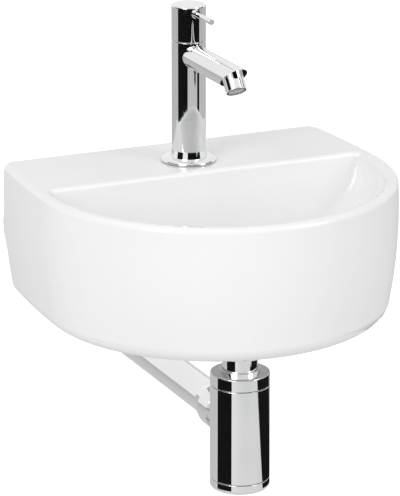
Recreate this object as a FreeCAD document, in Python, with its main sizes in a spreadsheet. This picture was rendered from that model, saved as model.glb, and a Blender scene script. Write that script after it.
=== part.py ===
import FreeCAD, Part
import math
import os

import Sketcher

# A small wall hung cloakroom basin of glazed ceramic with a cold water pillar tap, an open waste and a
# bottle trap, all the way to the pipe that enters the wall.
# Frame: the wall is the plane y = 0 and the basin hangs in front of it at y < 0, +X is to the right of
# someone who faces the wall, +Z is up. The origin lies on the wall, midway between the two wall bolts.

doc = FreeCAD.newDocument("WallHungBasin")
sheet = doc.addObject("Spreadsheet::Sheet", "Sizes")

# Every driving dimension, in millimetres unless the name says degrees.
DIMENSIONS = {
    # basin
    "basin_width": 330.0,
    "front_centre": 118.0,         # wall to the axis of the half-round front
    "basin_height": 125.0,
    "deck_height": 60.0,           # deck above the wall bolts
    "widest_drop": 33.0,           # deck down to the widest line of the side
    "side_bow": 445.0,             # radius of the side's upright curve
    "back_narrowing": 6.5,         # each side at the wall, against the widest line
    "rim_round": 5.5,
    "foot_round": 16.0,
    "rim_width": 11.0,             # flat and round of the rim, outside to bowl
    "bowl_setback": 101.0,         # wall to the back edge of the bowl
    "bowl_depth": 91.0,
    "bowl_corner": 7.0,
    "bowl_rounding": 0.8,          # how far the back corners open into a circle at the floor
    "bowl_lip": 4.5,
    "bowl_back_lean": 16.0,
    "bowl_shell": 8.0,             # ceramic behind and under the bowl
    "back_wall": 13.0,
    "deck_thickness": 14.0,
    "skirt_wall": 12.0,            # ceramic of the side and front, below the rim
    "foot_width": 4.0,             # flat edge round the open underside
    "foot_lip": 20.0,              # height over which the skirt thickens to that edge
    "underside_corner": 16.0,
    # wall fixing
    "bolt_spacing": 200.0,
    "bolt_radius": 3.88,           # M8 thread that carries the nut
    "screw_radius": 4.05,          # wood thread in the wall plug
    "screw_start": 2.0,            # wall face to the wood thread
    "bolt_in_wall": 55.0,
    "bolt_point": 9.0,
    "wall_hole_radius": 7.5,
    "bush_flange_radius": 11.5,
    "bush_flange": 3.0,
    "fixing_washer_radius": 9.5,
    "fixing_washer": 1.6,
    "fixing_nut_flats": 13.0,
    "fixing_nut": 6.5,
    "bolt_spare": 4.0,             # bolt that shows past its nut
    # tap
    "tap_to_bowl": 38.5,           # tap axis to the back edge of the bowl
    "tap_hole_radius": 17.0,
    "tap_radius": 15.5,
    "base_gasket": 0.8,
    "base_gasket_radius": 23.5,
    "base_flange_radius": 25.0,
    "base_flange": 3.8,
    "tap_seam_height": 112.0,      # deck to the seam between body and handle
    "handle_seam": 0.3,
    "handle_length": 32.7,
    "handle_wall": 3.0,
    "handle_roof": 19.0,           # solid top of the handle, round the spindle
    "handle_cap": 4.5,             # top of the handle over the spindle's end
    "handle_round": 1.8,
    "riser_radius": 5.0,
    "shank_radius": 10.478,        # G1/2
    "shank_bore": 6.5,
    "shank_socket": 10.0,
    "shank_drop": 48.0,            # shank below the deck
    "shank_washer_radius": 23.0,
    "shank_rubber": 3.0,
    "shank_steel_radius": 22.0,
    "shank_steel": 1.5,
    "shank_nut_flats": 27.0,
    "shank_nut": 7.0,
    "relief": 1.0,                 # width of the thread relief where a free end starts
    "relief_depth": 0.4,
    # spout and aerator
    "spout_below_seam": 13.0,
    "spout_radius": 11.0,
    "spout_bore": 8.0,
    "spout_wall": 1.5,             # wall of the tenon that enters the tap body
    "spout_reach": 96.0,           # tap axis to the middle of the mitred end
    "nozzle_lean_degrees": 36.0,
    "nozzle_radius": 9.3,
    "nozzle_length": 12.5,
    "nozzle_round": 0.7,
    "nozzle_offset": 1.5,          # nozzle below the middle of the mitred end, along the cut
    "nozzle_thread_radius": 7.9,
    "nozzle_thread": 4.0,
    "aerator_radius": 7.3,
    "aerator_height": 6.0,
    "aerator_inset": 1.2,
    "aerator_ledge": 1.5,
    "aerator_cell_radius": 2.1,
    "aerator_cell_ring": 3.9,
    "aerator_gasket": 1.2,
    # valve inside the tap
    "chamber_radius": 9.5,
    "chamber_depth": 30.0,
    "valve_thread": 9.0,
    "valve_barrel_room": 0.6,      # chamber wall to the valve's barrel
    "valve_barrel_wall": 1.7,
    "valve_seal": 2.5,
    "disc_thickness": 2.5,
    "disc_port_radius": 2.1,
    "disc_port_offset": 4.0,
    "window_radius": 3.2,
    "valve_flange_room": 0.7,      # inside of the handle to the valve's collar
    "valve_flange": 1.5,
    "valve_hex_flats": 17.0,
    "valve_hex": 5.5,
    "spindle_radius": 3.95,
    "spindle_foot_room": 0.5,      # bore of the barrel to the spindle's foot
    "spindle_foot": 1.5,
    # lever
    "lever_below_top": 6.2,
    "lever_radius": 2.4,
    "lever_reach": 34.0,
    "lever_collar_radius": 4.3,
    "lever_collar": 3.0,
    "lever_collar_taper": 0.8,
    "lever_neck_radius": 1.6,
    "lever_neck": 1.8,
    "lever_tip_radius": 3.0,
    "lever_tip": 2.6,
    "lever_tip_round": 0.6,
    # waste
    "waste_setback": 174.0,
    "waste_hole_radius": 23.0,
    "waste_seat_radius": 33.5,
    "waste_seat": 4.0,
    "floor_thickness": 12.0,
    "grid_room": 2.0,              # edge of the seat to the strainer's rim
    "grid_rim": 2.6,
    "grid_dish": 2.0,
    "grid_lip": 2.0,               # flat of the outer rim
    "grid_bevel": 1.0,
    "grid_plate": 1.5,             # plate under the gasket line, and the skirt's wall
    "grid_hole_radius": 3.0,
    "grid_ring_radius": 12.5,
    "grid_skirt_room": 2.5,        # waste hole to the strainer's skirt
    "grid_skirt": 12.0,
    "waste_gasket": 1.2,
    "waste_screw_radius": 3.0,
    "waste_screw_head": 5.5,
    "waste_screw_rise": 1.4,
    "waste_screw_bevel": 1.0,
    "waste_screw_spare": 2.0,      # thread past the arms
    "tail_flange_radius": 30.0,
    "tail_flange": 3.5,
    "tail_gasket": 2.0,
    "tail_radius": 20.95,          # G1 1/4
    "tail_wall": 2.4,
    "tail_length": 31.0,
    "tail_arm": 5.0,
    "tail_hub_wall": 3.0,
    # bottle trap
    "inlet_nut_wall": 3.05,
    "inlet_thread": 9.0,           # thread that the inlet nut takes of the tail
    "inlet_washer": 2.0,
    "inlet_lip": 3.0,
    "neck_radius": 16.0,
    "tube_wall": 1.1,
    "neck_flange_width": 3.5,
    "neck_flange": 2.0,
    "neck_show": 16.0,             # inlet nut down to the top of the trap
    "trap_radius": 27.0,
    "trap_cap": 11.5,
    "trap_seam": 0.4,
    "trap_body": 88.0,
    "trap_cup": 9.4,
    "trap_wall": 2.3,
    "trap_spigot_step": 2.4,       # outside of the trap in to its spigot
    "trap_cap_roof": 2.5,
    "trap_cap_seal": 1.6,
    "trap_round": 1.2,
    "cup_round": 4.0,
    "cup_floor": 2.6,
    "cup_spigot": 9.0,
    "cup_seal": 2.2,
    "trap_collar_width": 2.0,
    "trap_collar": 3.2,
    "trap_collar_round": 0.8,
    "cup_groove": 1.2,
    "outlet_below_top": 48.5,      # top of the trap to the outlet's axis
    "dip_below_outlet": 23.0,      # that axis to the end of the dip tube, which makes the water seal
    "outlet_boss_wall": 2.4,
    "outlet_boss": 10.0,
    "outlet_nut_wall": 2.1,
    "outlet_nut_gap": 2.0,         # trap to the nut
    "outlet_nut": 32.0,
    "outlet_nut_taper": 13.0,
    "outlet_nut_mouth": 1.0,
    "outlet_seal": 8.0,
    "pipe_entry": 1.0,             # pipe inside the trap's outside line
    "outlet_pipe": 250.0,
    # edges and clearances
    "seam_round": 0.5,             # rounding of each edge that meets a seam
    "slip": 0.05,                  # radial room of a turning fit
    "loose": 0.15,                 # radial room of a push fit or a thread
    "overrun": 1.0,                # how far a cut passes the face that it opens
}

for row, (alias, length) in enumerate(DIMENSIONS.items(), start=1):
    sheet.set(f"A{row}", alias.replace("_", " "))
    sheet.set(f"B{row}", str(length))
    sheet.setAlias(f"B{row}", alias)
doc.recompute()


class Size:
    """A length with the spreadsheet formula that gives it, so that a sum of sizes stays bound."""

    def __init__(self, value, formula):
        self.value = value
        self.formula = formula

    def __add__(self, other):
        other = as_size(other)
        return Size(self.value + other.value, f"({self.formula} + {other.formula})")

    def __radd__(self, other):
        return as_size(other) + self

    def __sub__(self, other):
        other = as_size(other)
        return Size(self.value - other.value, f"({self.formula} - {other.formula})")

    def __rsub__(self, other):
        return as_size(other) - self

    def __mul__(self, other):
        other = as_size(other)
        return Size(self.value * other.value, f"({self.formula} * {other.formula})")

    def __rmul__(self, other):
        return as_size(other) * self

    def __neg__(self):
        return Size(-self.value, f"(0 - {self.formula})")


def as_size(item):
    """A plain number as a size."""
    if isinstance(item, Size):
        return item
    return Size(float(item), f"({item})")


def size(alias):
    """The sheet's cell of that name."""
    return Size(float(sheet.get(alias)), f"Sizes.{alias}")


def bind(item, prop, length):
    """Tie one property of an object to its formula."""
    item.setExpression(prop, as_size(length).formula)


# ---------------------------------------------------------------- shared places
slip = size("slip")
loose = size("loose")
overrun = size("overrun")
ORIGIN = (as_size(0), as_size(0), as_size(0))
TAP_AXIS = (as_size(0), size("tap_to_bowl") - size("bowl_setback"), size("deck_height"))
WASTE_AXIS = (as_size(0), -size("waste_setback"), size("deck_height"))
UPRIGHT = FreeCAD.Rotation()
TO_FRONT = FreeCAD.Rotation(FreeCAD.Vector(1, 0, 0), 90)      # +Z of the piece looks away from the wall
TO_WALL = FreeCAD.Rotation(FreeCAD.Vector(1, 0, 0), -90)      # +Z of the piece looks at the wall

nodes = []


def keep(item, label):
    """Count an object as one sub-part and name it."""
    item.Label = label
    nodes.append(item)
    return item


def put(item, place, turn=UPRIGHT):
    """Stand an object at a place that stays bound to the sheet."""
    item.Placement = FreeCAD.Placement(FreeCAD.Vector(*[p.value for p in place]), turn)
    for axis, length in zip("xyz", place):
        bind(item, f"Placement.Base.{axis}", length)
    return item


def plane_of(body, role):
    """One of the body's own origin planes."""
    return next(f for f in body.Origin.OriginFeatures if f.Role == role)


def outline(body, name, role, points):
    """A closed outline of straight sides, each corner tied to the sheet."""
    sketch = body.newObject("Sketcher::SketchObject", name)
    sketch.AttachmentSupport = [(plane_of(body, role), "")]
    sketch.MapMode = "FlatFace"
    corners = [(as_size(u), as_size(v)) for u, v in points]
    spots = [FreeCAD.Vector(u.value, v.value, 0) for u, v in corners]
    for here, there in zip(spots, spots[1:] + spots[:1]):
        sketch.addGeometry(Part.LineSegment(here, there), False)
    count = len(spots)
    for side in range(count):
        sketch.addConstraint(Sketcher.Constraint("Coincident", side, 2, (side + 1) % count, 1))
    for side, (u, v) in enumerate(corners):
        for kind, length in (("DistanceX", u), ("DistanceY", v)):
            index = sketch.addConstraint(Sketcher.Constraint(kind, -1, 1, side, 1, length.value))
            sketch.setExpression(f"Constraints[{index}]", length.formula)
    return sketch


def rings(body, name, role, circles):
    """Circles on one plane, each a (u, v, radius) tied to the sheet."""
    sketch = body.newObject("Sketcher::SketchObject", name)
    sketch.AttachmentSupport = [(plane_of(body, role), "")]
    sketch.MapMode = "FlatFace"
    for side, (u, v, radius) in enumerate(circles):
        u, v, radius = as_size(u), as_size(v), as_size(radius)
        centre = FreeCAD.Vector(u.value, v.value, 0)
        sketch.addGeometry(Part.Circle(centre, FreeCAD.Vector(0, 0, 1), radius.value), False)
        for kind, length in (("DistanceX", u), ("DistanceY", v)):
            index = sketch.addConstraint(Sketcher.Constraint(kind, -1, 1, side, 3, length.value))
            sketch.setExpression(f"Constraints[{index}]", length.formula)
        index = sketch.addConstraint(Sketcher.Constraint("Radius", side, radius.value))
        sketch.setExpression(f"Constraints[{index}]", radius.formula)
    return sketch


def new_body(label, place=ORIGIN, turn=UPRIGHT):
    """An empty sub-part at its place."""
    return keep(put(doc.addObject("PartDesign::Body", label), place, turn), label)


def revolve(body, name, points):
    """Turn an (r, z) outline about the body's own Z axis."""
    profile = outline(body, name + "_profile", "XZ_Plane", points)
    feature = body.newObject("PartDesign::Revolution", name)
    feature.Profile = profile
    feature.ReferenceAxis = (profile, ["V_Axis"])
    feature.Angle = 360
    doc.recompute()
    return feature


def turned(label, points, place=ORIGIN, turn=UPRIGHT):
    """A sub-part made on the lathe."""
    body = new_body(label, place, turn)
    revolve(body, label + "_turned", points)
    return body


def ring_part(label, inner, outer, low, high, place=ORIGIN, turn=UPRIGHT):
    """A plain washer, gasket or tube."""
    return turned(label, [(inner, low), (outer, low), (outer, high), (inner, high)], place, turn)


def soften(body, name, radius, spots):
    """Round the circular edges of a turned body at the given (r, z) spots."""
    base = body.Tip
    shape = base.Shape
    wanted = []
    near = 0.01
    for index, edge in enumerate(shape.Edges, start=1):
        if not isinstance(edge.Curve, Part.Circle):
            continue
        for r, z in spots:
            near_r = abs(edge.Curve.Radius - as_size(r).value) < near
            near_z = abs(edge.Curve.Center.z - as_size(z).value) < near
            if near_r and near_z:
                wanted.append(f"Edge{index}")
    fillet = body.newObject("PartDesign::Fillet", name)
    fillet.Base = (base, wanted)
    fillet.Radius = as_size(radius).value
    bind(fillet, "Radius", radius)
    doc.recompute()
    return fillet


def pocket(body, name, sketch, depth=None, along_normal=False):
    """Cut a sketch out of the body: through all both ways, or to a depth on one side of its plane."""
    before = body.Tip.Shape.Volume
    feature = body.newObject("PartDesign::Pocket", name)
    feature.Profile = sketch
    if depth is None:
        feature.Type = "ThroughAll"
        feature.Midplane = True
    else:
        feature.Type = "Length"
        feature.Length = as_size(depth).value
        feature.Reversed = along_normal
        bind(feature, "Length", depth)
    doc.recompute()
    if feature.Shape.Volume > before - 1e-6:
        raise ValueError(f"{name} cuts nothing")
    return feature


def pad(body, name, sketch, height):
    """Raise a sketch along +Z of its plane."""
    feature = body.newObject("PartDesign::Pad", name)
    feature.Profile = sketch
    feature.Length = as_size(height).value
    bind(feature, "Length", height)
    doc.recompute()
    return feature


def hexagon(flats):
    """Corner places of a hexagon, flats across Y."""
    reach = as_size(flats) * round(1 / math.sqrt(3), 6)
    corners = []
    for step in range(6):
        angle = math.radians(60 * step)
        corners.append((reach * round(math.cos(angle), 6), reach * round(math.sin(angle), 6)))
    return corners


def around(body, name, original, count):
    """Repeat a cut about the body's Z axis."""
    pattern = body.newObject("PartDesign::PolarPattern", name)
    pattern.Originals = [original]
    pattern.Axis = (plane_of(body, "Z_Axis"), [""])
    pattern.Angle = 360
    pattern.Occurrences = count
    body.Tip = pattern
    doc.recompute()
    return pattern


def hex_nut(label, flats, bore, height, place, turn=UPRIGHT):
    """A hexagon nut with its bore."""
    body = new_body(label, place, turn)
    pad(body, label + "_hexagon", outline(body, label + "_flats", "XY_Plane", hexagon(flats)), height)
    pocket(body, label + "_bore", rings(body, label + "_hole", "XY_Plane", [(0, 0, bore)]))
    return body


def lifted(place, rise):
    """The same place, higher by rise."""
    return (place[0], place[1], place[2] + rise)


# ---------------------------------------------------------------- wall fixing, one set per side
def pair(label, half):
    """A left and a right copy of one fastener in one node."""
    other = doc.addObject("Part::Mirroring", label + "_left")
    other.Source = half
    other.Normal = FreeCAD.Vector(1, 0, 0)
    both = doc.addObject("Part::Compound", label)
    both.Links = [half, other]
    nodes.remove(half)
    half.Label = label + "_right"
    return keep(both, label)


bolt_place = (size("bolt_spacing") * 0.5, as_size(0), as_size(0))
bolt = size("bolt_radius")
bush_front = size("back_wall") + size("bush_flange")
washer_front = bush_front + size("fixing_washer")
nut_front = washer_front + size("fixing_nut")

# Hanger bolts: the pointed wood thread is driven into the wall plug, the M8 end carries the basin.
in_wall = size("bolt_in_wall")
hanger = turned("wall_bolt", [
    (0, -in_wall),
    (size("screw_radius"), -in_wall + size("bolt_point")),
    (size("screw_radius"), -size("screw_start")),
    (bolt, -size("screw_start")),
    (bolt, nut_front + size("bolt_spare")),
    (0, nut_front + size("bolt_spare")),
], bolt_place, TO_FRONT)
pair("wall_bolts", hanger)

# Plastic bushes keep the steel off the ceramic.
bush = turned("wall_bolt_bush", [
    (bolt + loose, 0),
    (size("wall_hole_radius") - loose, 0),
    (size("wall_hole_radius") - loose, size("back_wall")),
    (size("bush_flange_radius"), size("back_wall")),
    (size("bush_flange_radius"), bush_front),
    (bolt + loose, bush_front),
], bolt_place, TO_FRONT)
pair("wall_bolt_bushes", bush)

flat_washer = ring_part("wall_bolt_washer", bolt + loose, size("fixing_washer_radius"),
                        bush_front, washer_front, bolt_place, TO_FRONT)
pair("wall_bolt_washers", flat_washer)

nut_place = (bolt_place[0], -washer_front, as_size(0))
wall_nut = hex_nut("wall_bolt_nut", size("fixing_nut_flats"), bolt + slip, size("fixing_nut"),
                   nut_place, TO_FRONT)
pair("wall_bolt_nuts", wall_nut)


# ---------------------------------------------------------------- tap: outside
flange_top = size("base_gasket") + size("base_flange")
seam = size("tap_seam_height")
tap = size("tap_radius")
shank = size("shank_radius")
chamber = size("chamber_radius")
chamber_floor = seam - size("chamber_depth")
thread_low = seam - size("valve_thread")
spout_z = seam - size("spout_below_seam")

ring_part("tap_base_gasket", shank + loose, size("base_gasket_radius"), 0, size("base_gasket"), TAP_AXIS)

flange = ring_part("tap_base_flange", shank + loose, size("base_flange_radius"),
                   size("base_gasket"), flange_top, TAP_AXIS)
soften(flange, "tap_base_flange_edge", size("base_gasket"), [(size("base_flange_radius"), flange_top)])

# Body: a socket for the shank below, the riser, and the valve chamber with its thread on top.
tap_body = turned("tap_body", [
    (shank + slip, flange_top),
    (tap, flange_top),
    (tap, seam),
    (shank + slip, seam),
    (shank + slip, thread_low),
    (chamber, thread_low),
    (chamber, chamber_floor),
    (size("riser_radius"), chamber_floor),
    (size("riser_radius"), flange_top + size("shank_socket")),
    (shank + slip, flange_top + size("shank_socket")),
], TAP_AXIS)
port = rings(tap_body, "tap_body_port", "XZ_Plane", [(0, spout_z, size("spout_bore"))])
pocket(tap_body, "tap_body_outlet", port, tap + overrun, along_normal=True)
soften(tap_body, "tap_body_edge", size("seam_round"), [(tap, seam)])

under_deck = -size("deck_thickness")
rubber_low = under_deck - size("shank_rubber")
steel_low = rubber_low - size("shank_steel")
shank_nut_low = steel_low - size("shank_nut")

# Shank: the free end below the nut takes the supply connector, and a relief inside the nut ends its thread.
turned("tap_shank", [
    (size("shank_bore"), -size("shank_drop")),
    (shank, -size("shank_drop")),
    (shank, shank_nut_low),
    (shank - size("relief_depth"), shank_nut_low),
    (shank - size("relief_depth"), shank_nut_low + size("relief")),
    (shank, shank_nut_low + size("relief")),
    (shank, flange_top + size("shank_socket")),
    (size("shank_bore"), flange_top + size("shank_socket")),
], TAP_AXIS)
ring_part("shank_rubber_washer", shank + loose, size("shank_washer_radius"), rubber_low, under_deck,
          TAP_AXIS)
ring_part("shank_steel_washer", shank + loose, size("shank_steel_radius"), steel_low, rubber_low, TAP_AXIS)
hex_nut("shank_nut", size("shank_nut_flats"), shank + slip, size("shank_nut"),
        lifted(TAP_AXIS, shank_nut_low))

# ---------------------------------------------------------------- tap: spout and aerator
lean = float(sheet.get("nozzle_lean_degrees"))
lean_sine = round(math.sin(math.radians(lean)), 6)
lean_cosine = round(math.cos(math.radians(lean)), 6)
NOZZLE_TURN = FreeCAD.Rotation(FreeCAD.Vector(1, 0, 0), -lean)
spout_place = lifted(TAP_AXIS, spout_z)
mitre_place = (as_size(0), spout_place[1] - size("spout_reach"), spout_place[2])
nozzle_place = (
    as_size(0),
    mitre_place[1] + size("nozzle_offset") * lean_cosine,
    mitre_place[2] - size("nozzle_offset") * lean_sine,
)


def cylinder(name, radius, height, place, turn=UPRIGHT):
    """A bound cylinder that starts at its place and runs along its own +Z."""
    item = doc.addObject("Part::Cylinder", name)
    bind(item, "Radius", radius)
    bind(item, "Height", height)
    return put(item, place, turn)


def cut(name, base, tool):
    """Base without tool."""
    item = doc.addObject("Part::Cut", name)
    item.Base = base
    item.Tool = tool
    return item


def fuse(name, base, tool):
    """Base and tool as one."""
    item = doc.addObject("Part::Fuse", name)
    item.Base = base
    item.Tool = tool
    return item


# The spout is a straight tube. A saddle fits it to the body, a tenon enters the body's port, and a slanting
# cut ends it, with the nozzle standing square on that cut.
spout_width = size("spout_radius") * 2
tube = cylinder("spout_tube", size("spout_radius"), size("spout_reach") + spout_width, spout_place, TO_FRONT)
saddle = cylinder("spout_saddle", tap, spout_width * 2, lifted(spout_place, -spout_width))
spout = cut("spout_on_saddle", tube, saddle)
tenon_start = chamber + size("spout_wall")
tenon = cylinder("spout_tenon", size("spout_bore") - slip, tap - chamber,
                 (spout_place[0], spout_place[1] - tenon_start, spout_place[2]), TO_FRONT)
spout = fuse("spout_with_tenon", spout, tenon)

mitre = doc.addObject("Part::Box", "spout_mitre")
half_block = spout_width * 2
for side in ("Length", "Width", "Height"):
    bind(mitre, side, half_block * 2)
put(mitre, (
    -half_block,
    mitre_place[1] - half_block * lean_cosine - half_block * 2 * lean_sine,
    mitre_place[2] + half_block * lean_sine - half_block * 2 * lean_cosine,
), NOZZLE_TURN)
spout = cut("spout_mitred", spout, mitre)
waterway = cylinder("spout_waterway", size("spout_bore") - size("spout_wall"), size("spout_reach") - chamber,
                    (spout_place[0], spout_place[1] - chamber, spout_place[2]), TO_FRONT)
spout = cut("spout_bored", spout, waterway)
seat_depth = size("nozzle_thread") + size("aerator_gasket")
socket = cylinder("spout_socket", size("nozzle_thread_radius") + slip, seat_depth + overrun, (
    nozzle_place[0],
    nozzle_place[1] - overrun * lean_sine,
    nozzle_place[2] - overrun * lean_cosine,
), NOZZLE_TURN)
keep(cut("tap_spout", spout, socket), "tap_spout")

# Nozzle pieces stand on the cut, their own +Z looking back into the spout.
nozzle_low = -size("nozzle_length")
housing_bore = size("aerator_radius") + loose
ledge_bore = housing_bore - size("aerator_ledge")
insert_low = nozzle_low + size("aerator_inset")
insert_top = insert_low + size("aerator_height")
housing = turned("aerator_housing", [
    (housing_bore, nozzle_low),
    (size("nozzle_radius"), nozzle_low),
    (size("nozzle_radius"), 0),
    (size("nozzle_thread_radius"), 0),
    (size("nozzle_thread_radius"), size("nozzle_thread")),
    (ledge_bore, size("nozzle_thread")),
    (ledge_bore, insert_top),
    (housing_bore, insert_top),
], nozzle_place, NOZZLE_TURN)
soften(housing, "aerator_housing_edge", size("nozzle_round"), [(size("nozzle_radius"), nozzle_low)])

insert = ring_part("aerator_insert", 0, size("aerator_radius"), insert_low, insert_top,
                   nozzle_place, NOZZLE_TURN)
first_cell = pocket(insert, "aerator_cell", rings(insert, "aerator_cell_ring", "XY_Plane", [
    (size("aerator_cell_ring"), 0, size("aerator_cell_radius"))]))
around(insert, "aerator_cells", first_cell, 5)

ring_part("aerator_washer", ledge_bore, size("nozzle_thread_radius") - slip, size("nozzle_thread"),
          seat_depth, nozzle_place, NOZZLE_TURN)

# ---------------------------------------------------------------- tap: quarter turn valve
barrel = chamber - size("valve_barrel_room")
barrel_bore = barrel - size("valve_barrel_wall")
seal_top = chamber_floor + size("valve_seal")
fixed_top = seal_top + size("disc_thickness")
moving_top = fixed_top + slip + size("disc_thickness")
flange_seat = seam + size("valve_flange")
hex_top = flange_seat + size("valve_hex")
handle_inside = tap - size("handle_wall")
collar_radius = handle_inside - size("valve_flange_room")
spindle = size("spindle_radius")
spindle_bore = spindle + slip
spindle_foot = barrel_bore - size("spindle_foot_room")
handle_low = seam + size("handle_seam")
handle_top = handle_low + size("handle_length")
spindle_top = handle_top - size("handle_cap")

ring_part("headwork_seal", size("riser_radius"), barrel, chamber_floor, seal_top, TAP_AXIS)

# The headwork is the brass insert of the tap: a barrel round the two discs, the thread, a collar and a neck.
headwork = turned("tap_headwork", [
    (barrel_bore, seal_top),
    (barrel, seal_top),
    (barrel, thread_low),
    (shank, thread_low),
    (shank, seam),
    (collar_radius, seam),
    (collar_radius, flange_seat),
    (size("valve_hex_flats") * 0.5, flange_seat),
    (size("valve_hex_flats") * 0.5, hex_top),
    (spindle_bore, hex_top),
    (spindle_bore, thread_low),
    (barrel_bore, thread_low),
], TAP_AXIS)
window = rings(headwork, "headwork_window", "XZ_Plane",
               [(0, (moving_top + thread_low) * 0.5, size("window_radius"))])
window_cut = pocket(headwork, "headwork_windows", window, barrel + overrun)
around(headwork, "headwork_window_pair", window_cut, 4)


def ceramic_disc(label, low, high, radius):
    """A lapped disc with two ports."""
    disc = ring_part(label, 0, radius, low, high, TAP_AXIS)
    hole = pocket(disc, label + "_port", rings(disc, label + "_ring", "XY_Plane", [
        (size("disc_port_offset"), 0, size("disc_port_radius"))]))
    around(disc, label + "_ports", hole, 2)
    return disc


ceramic_disc("ceramic_disc_fixed", seal_top, fixed_top, barrel_bore - slip)
ceramic_disc("ceramic_disc_moving", fixed_top + slip, moving_top, barrel_bore - slip * 2)

turned("tap_spindle", [
    (0, moving_top),
    (spindle_foot, moving_top),
    (spindle_foot, moving_top + size("spindle_foot")),
    (spindle, moving_top + size("spindle_foot")),
    (spindle, spindle_top),
    (0, spindle_top),
], TAP_AXIS)

# ---------------------------------------------------------------- tap: handle and lever
roof = handle_top - size("handle_roof")
handle = turned("tap_handle", [
    (handle_inside, handle_low),
    (tap, handle_low),
    (tap, handle_top),
    (0, handle_top),
    (0, spindle_top + loose),
    (spindle_bore, spindle_top + loose),
    (spindle_bore, roof),
    (handle_inside, roof),
], TAP_AXIS)
soften(handle, "tap_handle_edge", size("handle_round"), [(tap, handle_top)])
soften(handle, "tap_handle_foot", size("seam_round"), [(tap, handle_low)])
lever_z = handle_top - size("lever_below_top")
lever_hole = rings(handle, "lever_hole", "XZ_Plane", [(0, lever_z, size("lever_radius") + slip)])
pocket(handle, "lever_bore", lever_hole, tap + overrun, along_normal=True)

lever_place = lifted(TAP_AXIS, lever_z)
lever_base = tap + slip
lever_end = tap + size("lever_reach")
tip_low = lever_end - size("lever_tip")
neck_low = tip_low - size("lever_neck")
lever = turned("tap_lever", [
    (0, spindle_bore),
    (size("lever_radius"), spindle_bore),
    (size("lever_radius"), lever_base),
    (size("lever_collar_radius"), lever_base),
    (size("lever_collar_radius") - size("lever_collar_taper"), lever_base + size("lever_collar")),
    (size("lever_radius"), lever_base + size("lever_collar")),
    (size("lever_radius"), neck_low),
    (size("lever_neck_radius"), neck_low),
    (size("lever_neck_radius"), tip_low),
    (size("lever_tip_radius"), tip_low),
    (size("lever_tip_radius"), lever_end),
    (0, lever_end),
], lever_place, TO_FRONT)
soften(lever, "tap_lever_edge", size("lever_tip_round"), [(size("lever_tip_radius"), lever_end)])

# ---------------------------------------------------------------- open waste
seat_z = -size("bowl_depth") - size("waste_seat")
grid_low = seat_z + size("waste_gasket")
grid_top = grid_low + size("grid_rim")
dish_top = grid_top - size("grid_dish")
floor_under = seat_z - size("floor_thickness")
tail_flange_top = floor_under - size("tail_gasket")
tail_flange_low = tail_flange_top - size("tail_flange")
tail_low = tail_flange_low - size("tail_length")
skirt_low = grid_low - size("grid_skirt")
skirt = size("waste_hole_radius") - size("grid_skirt_room")
grid = size("waste_seat_radius") - size("grid_room")

ring_part("waste_top_gasket", size("waste_hole_radius"), grid, seat_z, grid_low, WASTE_AXIS)

# Strainer: a dished plate with a ring of holes, and a skirt that centres it in the ceramic.
plate = size("grid_plate")
strainer = turned("waste_grid", [
    (0, dish_top),
    (skirt, dish_top),
    (grid - size("grid_lip"), grid_top),
    (grid, grid_top - size("grid_bevel")),
    (grid, grid_low),
    (skirt, grid_low),
    (skirt, skirt_low),
    (skirt - plate, skirt_low),
    (skirt - plate, grid_low - plate),
    (0, grid_low - plate),
], WASTE_AXIS)
first_hole = pocket(strainer, "grid_hole", rings(strainer, "grid_hole_ring", "XY_Plane", [
    (size("grid_ring_radius"), 0, size("grid_hole_radius"))]))
around(strainer, "grid_holes", first_hole, 8)
centre_hole = rings(strainer, "grid_centre", "XY_Plane", [(0, 0, size("waste_screw_radius") + loose)])
pocket(strainer, "grid_centre_hole", centre_hole)

ring_part("waste_bottom_gasket", size("tail_radius"), size("tail_flange_radius"), tail_flange_top,
          floor_under, WASTE_AXIS)

# Tail: the flange is pulled up against the ceramic by the screw, which bites in the hub between two arms.
tail = size("tail_radius")
tail_bore = tail - size("tail_wall")
hub = size("waste_screw_radius") + size("tail_hub_wall")
spider_low = tail_flange_low - size("tail_arm")
waste_tail = turned("waste_tail", [
    (tail_bore, tail_low),
    (tail, tail_low),
    (tail, tail_flange_low),
    (size("tail_flange_radius"), tail_flange_low),
    (size("tail_flange_radius"), tail_flange_top),
    (tail_bore, tail_flange_top),
], WASTE_AXIS)
arm_half = size("tail_arm") * 0.5


def tail_spider():
    """Hub and arms inside the tail, with the water's way between them."""
    arm_end = tail_bore + size("tail_wall") * 0.5
    plate = outline(waste_tail, "tail_arms", "XY_Plane", [
        (-arm_end, -arm_half),
        (-hub, -arm_half),
        (-hub, -hub),
        (hub, -hub),
        (hub, -arm_half),
        (arm_end, -arm_half),
        (arm_end, arm_half),
        (hub, arm_half),
        (hub, hub),
        (-hub, hub),
        (-hub, arm_half),
        (-arm_end, arm_half),
    ])
    plate.AttachmentOffset = FreeCAD.Placement(FreeCAD.Vector(0, 0, spider_low.value), UPRIGHT)
    bind(plate, "AttachmentOffset.Base.z", spider_low)
    pad(waste_tail, "tail_spider", plate, size("tail_arm"))


tail_spider()
pocket(waste_tail, "tail_thread",
       rings(waste_tail, "tail_thread_ring", "XY_Plane", [(0, 0, size("waste_screw_radius") + slip)]))

screw_head_top = dish_top + size("waste_screw_rise")
screw_low = spider_low - size("waste_screw_spare")
turned("waste_screw", [
    (0, screw_low),
    (size("waste_screw_radius"), screw_low),
    (size("waste_screw_radius"), dish_top),
    (size("waste_screw_head"), dish_top),
    (size("waste_screw_head") - size("waste_screw_bevel"), screw_head_top),
    (0, screw_head_top),
], WASTE_AXIS)

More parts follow.
